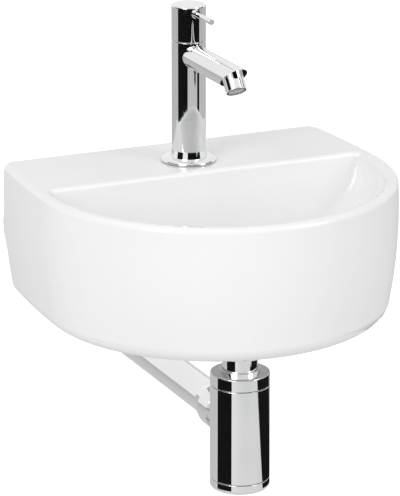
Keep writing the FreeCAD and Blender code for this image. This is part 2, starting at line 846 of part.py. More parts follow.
# ---------------------------------------------------------------- bottle trap
trap = size("trap_radius")
neck = size("neck_radius")
neck_room = neck + loose
washer_low = tail_low - size("inlet_washer")
neck_flange_low = washer_low - size("neck_flange")
inlet_nut_low = neck_flange_low - size("inlet_lip")
inlet_nut_radius = tail + size("inlet_nut_wall")
neck_flange = neck + size("neck_flange_width")
cap_top = inlet_nut_low - size("neck_show")
outlet_z = cap_top - size("outlet_below_top")
dip_low = outlet_z - size("dip_below_outlet")
boss_radius = neck + size("outlet_boss_wall")
cap_low = cap_top - size("trap_cap")
body_top = cap_low - size("trap_seam")
body_low = body_top - size("trap_body")
cup_top = body_low - size("trap_seam")
cup_low = cup_top - size("trap_cup")
roof_low = cap_top - size("trap_cap_roof")
seal_low = roof_low - size("trap_cap_seal")
spigot = trap - size("trap_spigot_step")
trap_bore = spigot - size("trap_wall")

ring_part("trap_inlet_washer", neck_room, neck_flange, washer_low, tail_low, WASTE_AXIS)

neck_bore = neck - size("tube_wall")
turned("trap_inlet_tube", [
    (neck_bore, dip_low),
    (neck, dip_low),
    (neck, neck_flange_low),
    (neck_flange, neck_flange_low),
    (neck_flange, washer_low),
    (neck_bore, washer_low),
], WASTE_AXIS)

inlet_nut = turned("trap_inlet_nut", [
    (neck_room, inlet_nut_low),
    (inlet_nut_radius, inlet_nut_low),
    (inlet_nut_radius, tail_low + size("inlet_thread")),
    (tail + slip, tail_low + size("inlet_thread")),
    (tail + slip, neck_flange_low),
    (neck_room, neck_flange_low),
], WASTE_AXIS)
soften(inlet_nut, "trap_inlet_nut_edge", size("trap_round"), [(inlet_nut_radius, inlet_nut_low)])

collar_top = cap_top + size("trap_collar")
trap_collar = neck + size("trap_collar_width")
collar = ring_part("trap_collar", neck_room, trap_collar, cap_top, collar_top, WASTE_AXIS)
soften(collar, "trap_collar_edge", size("trap_collar_round"), [(trap_collar, collar_top)])

cap = turned("trap_cap", [
    (neck_room, roof_low),
    (neck_room, cap_top),
    (trap, cap_top),
    (trap, cap_low),
    (spigot + slip, cap_low),
    (spigot + slip, roof_low),
], WASTE_AXIS)
soften(cap, "trap_cap_edge", size("trap_round"), [(trap, cap_top)])
soften(cap, "trap_cap_foot", size("seam_round"), [(trap, cap_low)])

ring_part("trap_cap_seal", neck_room, spigot - loose, seal_low, roof_low, WASTE_AXIS)

# Body: an open cylinder with a threaded spigot for the cap and a boss for the pipe on the wall side.
bottle = turned("trap_body", [
    (trap_bore, body_low),
    (trap, body_low),
    (trap, body_top),
    (spigot, body_top),
    (spigot, seal_low),
    (trap_bore, seal_low),
], WASTE_AXIS)
boss_ring = rings(bottle, "outlet_boss_ring", "XZ_Plane", [(0, outlet_z, boss_radius)])
soften(bottle, "trap_body_edges", size("seam_round"), [(trap, body_low), (trap, body_top)])
boss = bottle.newObject("PartDesign::Pad", "outlet_boss")
boss.Profile = boss_ring
bind(boss, "Length", trap + size("outlet_boss"))
boss.Reversed = True
doc.recompute()
bore_ring = rings(bottle, "trap_bore_ring", "XY_Plane", [(0, 0, trap_bore)])
pocket(bottle, "trap_bore", bore_ring)
outlet_ring = rings(bottle, "outlet_ring", "XZ_Plane", [(0, outlet_z, neck_room)])
pocket(bottle, "outlet_bore", outlet_ring, trap + size("outlet_boss") + overrun)

# Cup: it screws up into the body and comes off for cleaning.
cup_spigot = trap_bore - loose
cup_bore = cup_spigot - size("trap_wall")
groove_low = cup_top + size("cup_spigot") - size("cup_seal") * 2
groove_high = groove_low + size("cup_seal")
groove_floor = cup_spigot - size("cup_groove")
cup = turned("trap_cup", [
    (0, cup_low),
    (trap, cup_low),
    (trap, cup_top),
    (cup_spigot, cup_top),
    (cup_spigot, groove_low),
    (groove_floor, groove_low),
    (groove_floor, groove_high),
    (cup_spigot, groove_high),
    (cup_spigot, cup_top + size("cup_spigot")),
    (cup_bore, cup_top + size("cup_spigot")),
    (cup_bore, cup_low + size("cup_floor")),
    (0, cup_low + size("cup_floor")),
], WASTE_AXIS)
soften(cup, "trap_cup_edge", size("cup_round"), [(trap, cup_low)])
soften(cup, "trap_cup_shoulder", size("seam_round"), [(trap, cup_top)])

ring_part("trap_cup_seal", groove_floor + slip, trap_bore - slip, groove_low + slip, groove_high - slip,
          WASTE_AXIS)

# ---------------------------------------------------------------- pipe to the wall
outlet_place = lifted(WASTE_AXIS, outlet_z)
outlet_nut_radius = boss_radius + size("outlet_nut_wall")
boss_end = trap + size("outlet_boss")
nut_start = trap + size("outlet_nut_gap")
nut_end = nut_start + size("outlet_nut")
pipe_start = trap - size("pipe_entry")
pipe_end = pipe_start + size("outlet_pipe")

ring_part("outlet_seal", neck_room, boss_radius - loose, boss_end,
          boss_end + size("outlet_seal"), outlet_place, TO_WALL)

turned("outlet_nut", [
    (boss_radius + slip, nut_start),
    (outlet_nut_radius, nut_start),
    (outlet_nut_radius, nut_end - size("outlet_nut_taper")),
    (neck_room + size("outlet_nut_mouth"), nut_end),
    (neck_room, nut_end),
    (neck_room, boss_end + size("outlet_seal")),
    (boss_radius + slip, boss_end + size("outlet_seal")),
], outlet_place, TO_WALL)

# Pipe: a rolled groove inside the nut's mouth marks how deep the pipe is pushed in.
turned("wall_pipe", [
    (neck_bore, pipe_start),
    (neck, pipe_start),
    (neck, nut_end - size("relief")),
    (neck - size("relief_depth"), nut_end - size("relief")),
    (neck - size("relief_depth"), nut_end),
    (neck, nut_end),
    (neck, pipe_end),
    (neck_bore, pipe_end),
], outlet_place, TO_WALL)


# ---------------------------------------------------------------- basin
def number(alias):
    """A sheet value as a plain number, for the ceramic body's own geometry."""
    return float(sheet.get(alias))


def vec(x, y, z):
    """A point, written short."""
    return FreeCAD.Vector(x, y, z)


def side_inset(drop):
    """How far the side stands in from its widest line, at a drop below the deck."""
    bow = number("side_bow")
    return bow - math.sqrt(bow ** 2 - (drop - number("widest_drop")) ** 2)


def shell_profile(inner):
    """Upright section of the outside, from x = inner to the bowed side, with both edges rounded."""
    half = number("basin_width") / 2
    tall = number("basin_height")
    rim = number("rim_round")
    foot = number("foot_round")
    middle = tall / 2
    top_side = vec(half - side_inset(rim), 0, -rim)
    low_side = vec(half - side_inset(tall - foot), 0, foot - tall)
    top_flat = vec(top_side.x - rim, 0, 0)
    low_flat = vec(low_side.x - foot, 0, -tall)
    diagonal = 1 - math.sqrt(0.5)
    rim_middle = vec(top_side.x - rim * diagonal, 0, -rim * diagonal)
    foot_middle = vec(low_side.x - foot * diagonal, 0, foot * diagonal - tall)
    edges = [
        Part.makeLine(vec(inner, 0, 0), top_flat),
        Part.Arc(top_flat, rim_middle, top_side).toShape(),
        Part.Arc(top_side, vec(half - side_inset(middle), 0, -middle), low_side).toShape(),
        Part.Arc(low_side, foot_middle, low_flat).toShape(),
        Part.makeLine(low_flat, vec(inner, 0, -tall)),
        Part.makeLine(vec(inner, 0, -tall), vec(inner, 0, 0)),
    ]
    return Part.Face(Part.Wire(edges))


def outer_shell():
    """Half-round front and two shallow-arced sides, all turned from one upright section."""
    centre = number("front_centre")
    half = number("basin_width") / 2
    front = shell_profile(0)
    front.translate(vec(0, -centre, 0))
    front = front.revolve(vec(0, -centre, 0), vec(0, 0, -1), 180)
    narrowing = number("back_narrowing")
    turn_radius = (centre ** 2 + narrowing ** 2) / (2 * narrowing)
    past_wall = 1.5
    angle = math.degrees(math.asin(centre / turn_radius)) * past_wall
    past_middle = half / 4
    side = shell_profile(-past_middle)
    side.translate(vec(0, -centre, 0))
    axis = vec(half - turn_radius, -centre, 0)
    right = side.revolve(axis, vec(0, 0, 1), angle)
    left = right.mirror(vec(0, 0, 0), vec(1, 0, 0))
    tall = number("basin_height")
    behind = Part.makeBox(4 * half, centre, 2 * tall, vec(-2 * half, 0, -1.5 * tall))
    return front.fuse([right, left]).cut(behind).removeSplitter()


def mouth_depth():
    """The upright stretch of wall under the rim, a little deeper than the lip's rounding."""
    return number("bowl_lip") * 1.1


def bowl_section(drop):
    """The bowl's outline at a drop below the deck: half width, back edge, middle of the front arc, corner."""
    half = number("basin_width") / 2 - side_inset(0) - number("rim_width")
    centre = number("front_centre")
    seat = number("waste_seat_radius")
    waste = number("waste_setback")
    flat_floor = 1.0004
    fall = max(0, (drop - mouth_depth()) / (number("bowl_depth") - mouth_depth()))
    share = math.sqrt(1 - (fall / flat_floor) ** 2)
    settle = 1 - share
    across = seat + (half - seat) * share
    rear = number("bowl_setback") + number("bowl_back_lean") * fall ** 1.5
    rear += (waste - seat - rear) * settle ** 2
    corner = number("bowl_corner")
    corner += (across - corner) * number("bowl_rounding") * settle
    shoulder = max(centre + (waste - centre) * settle, rear + corner + number("overrun") / 2)
    return across, rear, shoulder, corner


def d_wire(across, rear, shoulder, corner, drop):
    """A closed level wire shaped like a D: straight back, two corners, straight sides, half-round front."""
    z = -drop
    diagonal = corner * (1 - math.sqrt(0.5))
    turn = rear + corner
    front_arc = Part.Arc(vec(-across, -shoulder, z), vec(0, -shoulder - across, z),
                         vec(across, -shoulder, z)).toShape()
    right_side = Part.makeLine(vec(across, -shoulder, z), vec(across, -turn, z))
    right_corner = Part.Arc(vec(across, -turn, z), vec(across - diagonal, -rear - diagonal, z),
                            vec(across - corner, -rear, z)).toShape()
    back = Part.makeLine(vec(across - corner, -rear, z), vec(corner - across, -rear, z))
    left_corner = Part.Arc(vec(corner - across, -rear, z), vec(diagonal - across, -rear - diagonal, z),
                           vec(-across, -turn, z)).toShape()
    left_side = Part.makeLine(vec(-across, -turn, z), vec(-across, -shoulder, z))
    return Part.Wire([front_arc, right_side, right_corner, back, left_corner, left_side])


def open_mouth(body):
    """Cut the bowl's mouth into the deck and round its lip."""
    across, rear, shoulder, corner = bowl_section(0)
    mouth = Part.Face(d_wire(across, rear, shoulder, corner, 0))
    body = body.cut(mouth.extrude(vec(0, 0, -mouth_depth())))
    near = 1.0
    flat = 0.01
    lip = []
    for edge in body.Edges:
        middle = edge.valueAt((edge.FirstParameter + edge.LastParameter) / 2)
        level = abs(edge.BoundBox.ZMin) < flat and abs(edge.BoundBox.ZMax) < flat
        inside = abs(middle.x) < across + near and -shoulder - across - near < middle.y < near - rear
        if level and inside:
            lip.append(edge)
    return body.makeFillet(number("bowl_lip"), lip)


def bowl(wall, low):
    """The bowl below its mouth, wall wider all round: sections that close in faster towards the low end."""
    top = mouth_depth()
    wires = []
    for share in (0.0, 0.2, 0.42, 0.62, 0.78, 0.9, 0.97, 1.0):
        across, rear, shoulder, corner = bowl_section(top + (number("bowl_depth") - top) * share)
        drop = top + (low - top) * share
        wires.append(d_wire(across + wall, rear - wall, shoulder, corner + wall, drop))
    return Part.makeLoft(wires, True, False)


def underside():
    """The room inside the skirt and under the deck, round the outside of the bowl and open below."""
    half = number("basin_width") / 2
    tall = number("basin_height")
    deck = number("deck_thickness")
    lip = tall - number("foot_lip")
    foot = half - side_inset(tall) - number("foot_round") - number("foot_width")
    levels = [
        (half - side_inset(deck) - number("skirt_wall"), deck),
        (half - side_inset(lip) - number("skirt_wall"), lip),
        (foot, tall),
        (foot, tall + number("overrun")),
    ]
    wires = []
    for across, drop in levels:
        wires.append(d_wire(across, number("back_wall"), number("front_centre"), number("underside_corner"),
                            drop))
    room = Part.makeLoft(wires[:2], True, True).fuse(Part.makeLoft(wires[1:], True, True))
    floor_under = number("bowl_depth") + number("waste_seat") + number("floor_thickness")
    return room.cut(bowl(number("bowl_shell"), floor_under))


def ceramic():
    """The whole fired piece in deck coordinates."""
    body = open_mouth(outer_shell()).cut(bowl(0, number("bowl_depth"))).cut(underside())
    past = number("overrun")
    waste = number("waste_setback")
    seat = number("bowl_depth") + number("waste_seat")
    rebate = number("waste_seat_radius") - number("loose")
    thick = number("deck_thickness")
    through = number("back_wall") + 2 * past
    holes = [
        Part.makeCylinder(number("waste_hole_radius"), number("basin_height"),
                          vec(0, -waste, -number("basin_height") - past)),
        Part.makeCylinder(rebate, seat, vec(0, -waste, -seat)),
        Part.makeCylinder(number("tap_hole_radius"), thick + 2 * past,
                          vec(0, TAP_AXIS[1].value, -thick - past)),
    ]
    for side in (-1, 1):
        spot = vec(side * number("bolt_spacing") / 2, past, -number("deck_height"))
        holes.append(Part.makeCylinder(number("wall_hole_radius"), through, spot, vec(0, -1, 0)))
    return body.cut(holes)


basin = doc.addObject("Part::Feature", "basin")
basin.Shape = ceramic()
put(basin, (as_size(0), as_size(0), size("deck_height")))
keep(basin, "basin")

# ---------------------------------------------------------------- check and write
doc.recompute()
for item in doc.Objects:
    if "Invalid" in item.State or "Error" in item.State:
        raise ValueError(f"{item.Label} is {item.State}")
os.makedirs("parts", exist_ok=True)
for node in nodes:
    if node.Shape.isNull() or not node.Shape.isValid():
        raise ValueError(f"{node.Label} has no valid shape")
for node in nodes:
    node.Shape.exportStep(f"parts/{node.Label}.step")
print(len(nodes), "sub-parts written")
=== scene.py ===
import math

import bmesh
import bpy
import numpy
from mathutils import Matrix, Vector


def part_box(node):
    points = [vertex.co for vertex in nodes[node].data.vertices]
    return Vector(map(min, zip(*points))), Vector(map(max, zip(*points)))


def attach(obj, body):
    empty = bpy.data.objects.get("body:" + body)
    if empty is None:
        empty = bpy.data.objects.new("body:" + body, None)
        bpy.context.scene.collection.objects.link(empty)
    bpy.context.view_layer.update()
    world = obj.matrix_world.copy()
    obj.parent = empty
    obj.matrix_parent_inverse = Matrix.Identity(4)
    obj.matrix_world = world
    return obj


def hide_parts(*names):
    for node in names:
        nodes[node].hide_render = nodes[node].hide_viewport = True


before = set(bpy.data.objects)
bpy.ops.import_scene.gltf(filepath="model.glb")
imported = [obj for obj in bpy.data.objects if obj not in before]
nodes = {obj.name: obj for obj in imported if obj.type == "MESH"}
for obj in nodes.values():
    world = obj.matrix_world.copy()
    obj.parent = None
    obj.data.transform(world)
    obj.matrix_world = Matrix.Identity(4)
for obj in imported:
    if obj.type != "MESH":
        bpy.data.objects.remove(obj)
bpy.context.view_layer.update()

scene = bpy.context.scene
scene.view_settings.view_transform = "Standard"

# ---------------------------------------------------------------- viewpoint
# A long lens three metres away looks at the basin from the left of its front and a little from above,
# so that the deck, the bowl's back wall and the bottle trap all show.
EYE = Vector((-1.1560, -2.6516, 0.8658))
LOOK_AT = Vector((0.0207, -0.0412, -0.0326))
LENS_MM = 235.9
SENSOR_MM = 36.0

view = bpy.data.cameras.new("viewpoint")
view.sensor_width = SENSOR_MM
view.lens = LENS_MM
camera = bpy.data.objects.new("viewpoint", view)
camera.location = EYE
camera.rotation_euler = (LOOK_AT - EYE).to_track_quat("-Z", "Y").to_euler()
scene.collection.objects.link(camera)
scene.camera = camera


# ---------------------------------------------------------------- floor and white surround
# A matt white studio floor lies at its true distance under the basin, and a white surround closes the room.
# Both show as plain white to the eye and pale in polished metal, and light the ceramic softly.
def colour(red, green, blue):
    """An opaque colour."""
    return (red, green, blue, 1.0)


def add(tree, kind, **settings):
    """Put a node in a tree; each setting is one of its own properties or one of its inputs."""
    node = tree.nodes.new("ShaderNode" + kind)
    for name, value in settings.items():
        if hasattr(node, name):
            setattr(node, name, value)
        else:
            node.inputs[name.replace("_", " ")].default_value = value
    return node


def wire(tree, source, target):
    """Lead an output to an input."""
    tree.links.new(source, target)


def new_material(name):
    """A material with its tree, its shader and its place on the object."""
    material = bpy.data.materials.new(name)
    material.use_nodes = True
    tree = material.node_tree
    place = add(tree, "TexCoord").outputs["Object"]
    return material, tree, tree.nodes["Principled BSDF"], place


def plain_sight(tree, dim, mirrored, bright):
    """A strength that is dim for diffuse light, mirrored in reflections and glass, and bright for the eye."""
    path = add(tree, "LightPath")
    shiny = add(tree, "Math", operation="MAXIMUM")
    wire(tree, path.outputs["Is Glossy Ray"], shiny.inputs[0])
    wire(tree, path.outputs["Is Transmission Ray"], shiny.inputs[1])
    reflected = add(tree, "MapRange", To_Min=dim, To_Max=mirrored)
    wire(tree, shiny.outputs["Value"], reflected.inputs["Value"])
    seen = add(tree, "MapRange", To_Max=bright)
    wire(tree, path.outputs["Is Camera Ray"], seen.inputs["Value"])
    wire(tree, reflected.outputs["Result"], seen.inputs["To Min"])
    return seen.outputs["Result"]


def to_object(name, shape):
    """Make a finished bmesh an object whose place is in its mesh."""
    mesh = bpy.data.meshes.new(name)
    shape.to_mesh(mesh)
    shape.free()
    thing = bpy.data.objects.new(name, mesh)
    scene.collection.objects.link(thing)
    return thing


WHITE = colour(1.0, 1.0, 1.0)
surround = bpy.data.worlds.new("white_surround")
scene.world = surround
surround.use_nodes = True
tree = surround.node_tree
backdrop = tree.nodes["Background"]
backdrop.inputs["Color"].default_value = WHITE
wire(tree, plain_sight(tree, dim=0.615, mirrored=0.98, bright=1.0), backdrop.inputs["Strength"])

FLOOR_LEVEL = -0.79
FLOOR_SIZE = 16.0
shape = bmesh.new()
bmesh.ops.create_grid(shape, x_segments=1, y_segments=1, size=FLOOR_SIZE / 2,
                      matrix=Matrix.Translation((0, 0, FLOOR_LEVEL)))
floor = to_object("floor", shape)
floor_paint, tree, shader, _ = new_material("floor_paint")
shader.inputs["Base Color"].default_value = colour(0.74, 0.74, 0.74)
shader.inputs["Roughness"].default_value = 0.95
shader.inputs["Specular IOR Level"].default_value = 0.0
shader.inputs["Emission Color"].default_value = WHITE
wire(tree, plain_sight(tree, dim=0.03, mirrored=0.06, bright=0.7), shader.inputs["Emission Strength"])
floor.data.materials.append(floor_paint)

# ---------------------------------------------------------------- soft lamps
# A tall soft box stands far to the left of the viewer and another to the right: their reflections are the two
# bright strips on the rim and the white blocks in the tap.
LAMP_AIM = Vector((0.0, -0.12, 0.03))
LAMP_DISTANCE = 3.0


def direction(bearing, rise):
    """The way to a bearing, in degrees to the right from straight in front, and a rise above the level."""
    turn = math.radians(bearing)
    lift = math.radians(rise)
    return Vector((math.sin(turn) * math.cos(lift), -math.cos(turn) * math.cos(lift), math.sin(lift)))


def soft_box(name, toward, width, height, watts):
    """A rectangular lamp in a direction from the basin, which it points at."""
    lamp = bpy.data.lights.new(name, "AREA")
    lamp.shape = "RECTANGLE"
    lamp.size = width
    lamp.size_y = height
    lamp.energy = watts
    stand = bpy.data.objects.new(name, lamp)
    stand.location = LAMP_AIM + toward * LAMP_DISTANCE
    stand.rotation_euler = toward.to_track_quat("Z", "Y").to_euler()
    scene.collection.objects.link(stand)


soft_box("left_softbox", direction(-56, 27), width=1.5, height=2.3, watts=36.6)
soft_box("right_softbox", direction(38, 27), width=1.2, height=2.3, watts=21.6)

# ---------------------------------------------------------------- black cards
# Curved black cards stand round the tap and the trap, as in any picture of polished metal, and draw the dark
# bands in it; two more behind the wall draw the lines on the pipe. Only reflections see them, and mostly from
# their own axis, so the glaze stays clean.
VIEW_BEARING = math.atan2(EYE.y, EYE.x)
CARD_DISTANCE = 0.5
CARD_STEPS = 24
FULL_REACH = 0.536


def compare(tree, source, test, bound):
    """One where a value passes a test against a bound, and nought elsewhere."""
    limit = add(tree, "Math", operation=test)
    limit.inputs[1].default_value = bound
    wire(tree, source, limit.inputs[0])
    return limit.outputs["Value"]


def card_paint(name, near, far):
    """Black that only a ray between two lengths meets, so each card serves one piece."""
    material, tree, shader, _ = new_material(name)
    shader.inputs["Base Color"].default_value = colour(0.012, 0.012, 0.013)
    shader.inputs["Roughness"].default_value = 1.0
    shader.inputs["Specular IOR Level"].default_value = 0.0
    length = add(tree, "LightPath").outputs["Ray Length"]
    both = add(tree, "Math", operation="MULTIPLY")
    wire(tree, compare(tree, length, "GREATER_THAN", near), both.inputs[0])
    wire(tree, compare(tree, length, "LESS_THAN", far), both.inputs[1])
    wire(tree, both.outputs["Value"], shader.inputs["Alpha"])
    return material


def hang(name, shape, paint):
    """Hang a card where only reflections see it."""
    thing = to_object(name, shape)
    thing.data.materials.append(paint)
    thing.visible_camera = False
    thing.visible_diffuse = False
    thing.visible_shadow = False
    thing.visible_transmission = False


def flat_card(name, place, width, height, paint):
    """A flat card whose middle and turn are a matrix."""
    shape = bmesh.new()
    bmesh.ops.create_grid(shape, x_segments=1, y_segments=1, size=0.5,
                          matrix=place @ Matrix.Diagonal((width, height, 1.0, 1.0)))
    hang(name, shape, paint)


def card(name, centre, start, end, low, high, paint, distance=CARD_DISTANCE, lean=0):
    """A curved card round an upright axis: its ends lie at angles to the right of the viewer, its head leans."""
    shape = bmesh.new()
    bearing = VIEW_BEARING + math.radians(start)
    reach = Vector((math.cos(bearing), math.sin(bearing), 0)) * distance
    leaning = Matrix.Rotation(-math.radians(lean), 3, "Z") @ reach
    foot = shape.verts.new(centre + reach + Vector((0, 0, low)))
    head = shape.verts.new(centre + leaning + Vector((0, 0, high)))
    edge = shape.edges.new((foot, head))
    bmesh.ops.spin(shape, geom=[foot, head, edge], cent=centre, axis=(0, 0, 1), steps=CARD_STEPS,
                   angle=math.radians(end - start), use_merge=False)
    hang(name, shape, paint)


def upright_axis(node):
    """The foot of the upright axis through the middle of a turned piece."""
    low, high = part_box(node)
    return Vector(((low.x + high.x) / 2, (low.y + high.y) / 2, 0))


TAP_AXIS = upright_axis("tap_base_flange")
WASTE_AXIS = upright_axis("trap_cup")
NOZZLE_AXIS = upright_axis("aerator_insert")
far_black = card_paint("black_far", 0.475, FULL_REACH)
near_black = card_paint("black_near", 0.40, 0.475)
low_black = card_paint("black_low", 0.53, 0.62)
close_black = card_paint("black_close", 0.10, 0.145)
back_black = card_paint("black_back", 1.5, 4.0)
UNDER_LEVEL = -0.10
TIP_LEVEL = 0.021
NECK_LEVEL = 0.034
LAMP_LEVEL = 0.092
SPOUT_LEVEL = 0.20
TOP_LEVEL = 0.36
TRAP_LEVEL = -0.22
TRAP_NECK_LEVEL = -0.27
for name, centre, start, end, low, high, paint in (
        ("card_over", TAP_AXIS, -76, 74, NECK_LEVEL, LAMP_LEVEL, far_black),
        ("card_left", TAP_AXIS, -76, -8, UNDER_LEVEL, NECK_LEVEL, far_black),
        ("card_right", TAP_AXIS, 57, 74, UNDER_LEVEL, NECK_LEVEL, far_black),
        ("card_neck", TAP_AXIS, 31, 51, TIP_LEVEL, NECK_LEVEL, far_black),
        ("card_neck_tip", TAP_AXIS, 36, 46, 0.008, TIP_LEVEL, far_black),
        ("card_high_left", TAP_AXIS, -100, -38, LAMP_LEVEL, TOP_LEVEL, far_black),
        ("card_high_middle", TAP_AXIS, -8, 49, LAMP_LEVEL, TOP_LEVEL, far_black),
        ("card_spout_crown", TAP_AXIS, 8, 49, 0.25, 0.33, near_black),
        ("card_low", TAP_AXIS, -76, 60, -0.45, UNDER_LEVEL, low_black),
        ("card_high_right", TAP_AXIS, 73, 110, LAMP_LEVEL, TOP_LEVEL, far_black),
        ("card_spout_line", TAP_AXIS, 49, 55, SPOUT_LEVEL, TOP_LEVEL, far_black),
        ("card_spout_edge", TAP_AXIS, 66, 73, SPOUT_LEVEL, TOP_LEVEL, far_black),
        ("card_trap_left", WASTE_AXIS, -94, -32, -0.46, TRAP_LEVEL, far_black),
        ("card_trap_neck", WASTE_AXIS, 75, 150, TRAP_NECK_LEVEL, UNDER_LEVEL, far_black),
        ("card_trap_level", WASTE_AXIS, -94, -32, TRAP_LEVEL, UNDER_LEVEL, far_black),
        ("card_trap_collar", WASTE_AXIS, -8, 49, -0.13, 0.06, far_black)):
    card(name, centre, start, end, low, high, paint)
card("card_nozzle", NOZZLE_AXIS, 78, 94, 0.42, 0.55, far_black, distance=0.378)
card("card_trap_right", WASTE_AXIS, 98, 172, -0.41, TRAP_NECK_LEVEL, far_black, lean=34)
BEFORE_SPOUT = Vector((0.052, -0.085, 0.067))
flat_card("card_spout_end", Matrix.Translation(BEFORE_SPOUT), 0.075, 0.07, close_black)
BACK_DISTANCE = 2.6
for name, away, width, height in (("card_back_level", direction(149, 3.0), 0.62, 0.14),
                                  ("card_back_low", direction(167, -28.5), 0.80, 0.16)):
    facing = (-away).to_track_quat("Z", "Y").to_matrix().to_4x4()
    flat_card(name, Matrix.Translation(away * BACK_DISTANCE) @ facing, width, height, back_black)


# ---------------------------------------------------------------- ceramic basin
# One piece of vitreous china, cast in plaster moulds, glazed white and fired. The wall face and the foot
# that stood in the kiln are left bare, and the glaze lies in long, faint waves.
def new_group(name, inputs, output):
    """A shader node group with named inputs and one output."""
    tree = bpy.data.node_groups.new(name, "ShaderNodeTree")
    for label, kind, value in inputs:
        tree.interface.new_socket(label, in_out="INPUT", socket_type="NodeSocket" + kind).default_value = value
    label, kind = output
    tree.interface.new_socket(label, in_out="OUTPUT", socket_type="NodeSocket" + kind)
    return tree, tree.nodes.new("NodeGroupInput").outputs, tree.nodes.new("NodeGroupOutput").inputs


def use_group(tree, group, place, **settings):
    """Place a group in a material with its own values, and give back its output."""
    node = tree.nodes.new("ShaderNodeGroup")
    node.node_tree = group
    for name, value in settings.items():
        node.inputs[name].default_value = value
    wire(tree, place, node.inputs["Place"])
    return node.outputs[0]


def noise_from(tree, given, detail):
    """Noise over a group's place, at the group's scale."""
    noise = add(tree, "TexNoise", Detail=detail)
    wire(tree, given["Place"], noise.inputs["Vector"])
    wire(tree, given["Scale"], noise.inputs["Scale"])
    return noise.outputs["Fac"]


NOWHERE = (0.0, 0.0, 0.0)
waves, given, result = new_group("surface_waves", [
    ("Place", "Vector", NOWHERE), ("Scale", "Float", 40.0), ("Depth", "Float", 0.00005)], ("Normal", "Vector"))
bump = add(waves, "Bump")
wire(waves, noise_from(waves, given, 2.0), bump.inputs["Height"])
wire(waves, given["Depth"], bump.inputs["Distance"])
wire(waves, bump.outputs["Normal"], result["Normal"])

MIX_FIRST, MIX_SECOND, MIX_RESULT = 6, 7, 2
drift, given, result = new_group("colour_drift", [
    ("Place", "Vector", NOWHERE), ("Scale", "Float", 10.0), ("Light", "Color", WHITE), ("Deep", "Color", WHITE)],
    ("Colour", "Color"))
spread = add(drift, "MapRange", From_Min=0.35, From_Max=0.65)
mixed = add(drift, "Mix", data_type="RGBA")
wire(drift, noise_from(drift, given, 3.0), spread.inputs["Value"])
wire(drift, spread.outputs["Result"], mixed.inputs["Factor"])
wire(drift, given["Light"], mixed.inputs[MIX_FIRST])
wire(drift, given["Deep"], mixed.inputs[MIX_SECOND])
wire(drift, mixed.outputs[MIX_RESULT], result["Colour"])

haze, given, result = new_group("patchy_gloss", [
    ("Place", "Vector", NOWHERE), ("Scale", "Float", 20.0), ("Gloss", "Float", 0.05), ("Dull", "Float", 0.1)],
    ("Roughness", "Float"))
spread = add(haze, "MapRange", From_Min=0.4, From_Max=0.7)
wire(haze, noise_from(haze, given, 4.0), spread.inputs["Value"])
wire(haze, given["Gloss"], spread.inputs["To Min"])
wire(haze, given["Dull"], spread.inputs["To Max"])
wire(haze, spread.outputs["Result"], result["Roughness"])


def dress(material, *names):
    """Give pieces of the frame their finish."""
    for name in names:
        for place in nodes[name].material_slots:
            place.material = material


basin_low, basin_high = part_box("basin")
BARE_EDGE = 0.0006
SPECK_SIZE = 0.022
glaze, tree, shader, place = new_material("white_glaze")
shader.inputs["IOR"].default_value = 1.5
glazed = use_group(tree, drift, place, Scale=7.0, Light=colour(0.914, 0.915, 0.920),
                   Deep=colour(0.900, 0.901, 0.907))
biscuit = use_group(tree, drift, place, Scale=60.0, Light=colour(0.78, 0.75, 0.70), Deep=colour(0.70, 0.67, 0.62))
parts = add(tree, "SeparateXYZ")
wire(tree, place, parts.inputs["Vector"])
bare = add(tree, "Math", operation="MAXIMUM")
wire(tree, compare(tree, parts.outputs["Y"], "GREATER_THAN", basin_high.y - BARE_EDGE), bare.inputs[0])
wire(tree, compare(tree, parts.outputs["Z"], "LESS_THAN", basin_low.z + BARE_EDGE), bare.inputs[1])
speck = add(tree, "TexVoronoi", Scale=70.0)
wire(tree, place, speck.inputs["Vector"])
speckled = add(tree, "Mix", data_type="RGBA")
wire(tree, compare(tree, speck.outputs["Distance"], "LESS_THAN", SPECK_SIZE), speckled.inputs["Factor"])
wire(tree, glazed, speckled.inputs[MIX_FIRST])
speckled.inputs[MIX_SECOND].default_value = colour(0.62, 0.58, 0.52)
fired = add(tree, "Mix", data_type="RGBA")
wire(tree, bare.outputs["Value"], fired.inputs["Factor"])
wire(tree, speckled.outputs[MIX_RESULT], fired.inputs[MIX_FIRST])
wire(tree, biscuit, fired.inputs[MIX_SECOND])
wire(tree, fired.outputs[MIX_RESULT], shader.inputs["Base Color"])
roughness = add(tree, "MapRange", To_Max=0.8)
wire(tree, bare.outputs["Value"], roughness.inputs["Value"])
wire(tree, use_group(tree, haze, place, Scale=14.0, Gloss=0.06, Dull=0.11), roughness.inputs["To Min"])
wire(tree, roughness.outputs["Result"], shader.inputs["Roughness"])
wire(tree, use_group(tree, waves, place, Scale=30.0, Depth=0.00005), shader.inputs["Normal"])

HAIR = 1e-6
NEAR_WALL = 1e-4


def near_wall(shape, wall, depth):
    """Everything of a shape that reaches into a depth before the wall."""
    start = wall - depth - NEAR_WALL
    faces = [face for face in shape.faces if max(vert.co.y for vert in face.verts) > start]
    edges = {edge for face in faces for edge in face.edges}
    return faces + list(edges) + list({vert for edge in edges for vert in edge.verts})


